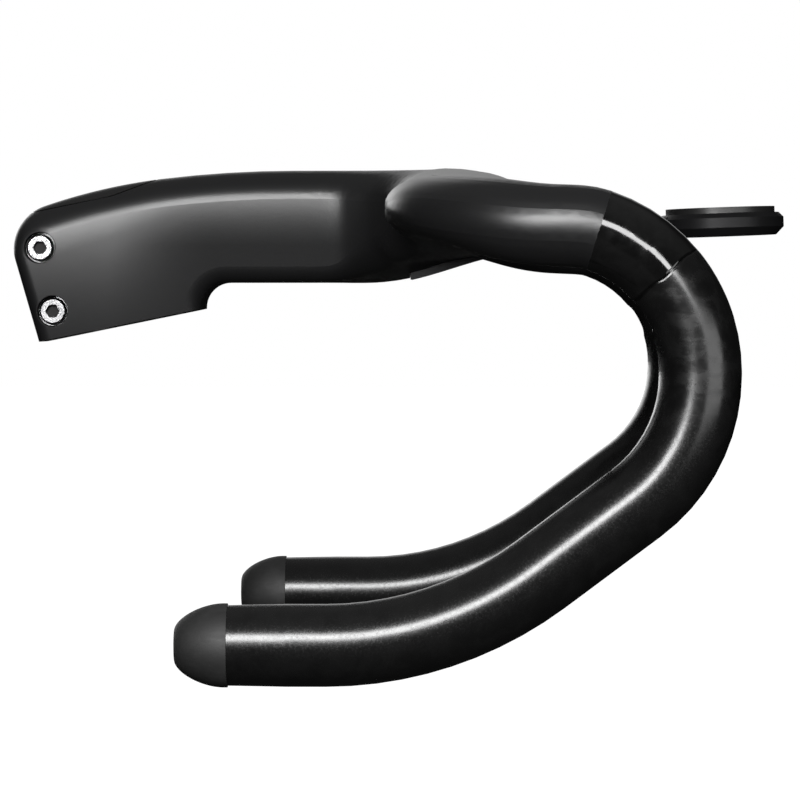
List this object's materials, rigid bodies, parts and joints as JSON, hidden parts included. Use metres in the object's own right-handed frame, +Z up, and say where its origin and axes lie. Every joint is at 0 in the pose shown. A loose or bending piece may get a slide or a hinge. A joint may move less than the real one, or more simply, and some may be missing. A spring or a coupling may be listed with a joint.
{
  "type": "integrated drop handlebar and stem",
  "caption": "One-piece carbon drop handlebar and stem with flat aero tops, round hooks and drops, end plugs, a split steerer clamp with pinch bolts and an out-front computer mount.",
  "frame": {"origin": "where the steerer axis meets the underside of the stem collar", "axes": "+X forward, +Y to the rider's left, +Z up, with the bar in its riding position; the steerer leans back 11.5 degrees from +Z"},
  "size_m": [0.2431, 0.4244, 0.1533],
  "materials": {
    "carbon_moulding": "satin black paint on stem, tops and ramps, bare glossy laminate on hooks and drops",
    "bright_steel": "bright",
    "dull_steel": "plain",
    "black_plastic": "satin",
    "plug_rubber": "matte",
    "anodised_aluminium": "black anodised",
    "black_screws": "black oxide",
    "insert_brass": "plain"
  },
  "bodies": {
    "root": {"handlebar_body": "carbon_moulding", "steerer_clamp_bolts": "bright_steel", "steerer_clamp_washers": "dull_steel", "steerer_clamp_nuts": "dull_steel", "steerer_top_cover": "black_plastic", "bar_end_plug_left": "plug_rubber", "bar_end_plug_right": "plug_rubber", "computer_mount_arm": "anodised_aluminium", "mount_screws": "black_screws", "mount_inserts": "insert_brass", "computer_cradle": "black_plastic", "cradle_screws": "black_screws"}
  },
  "joints": []
}
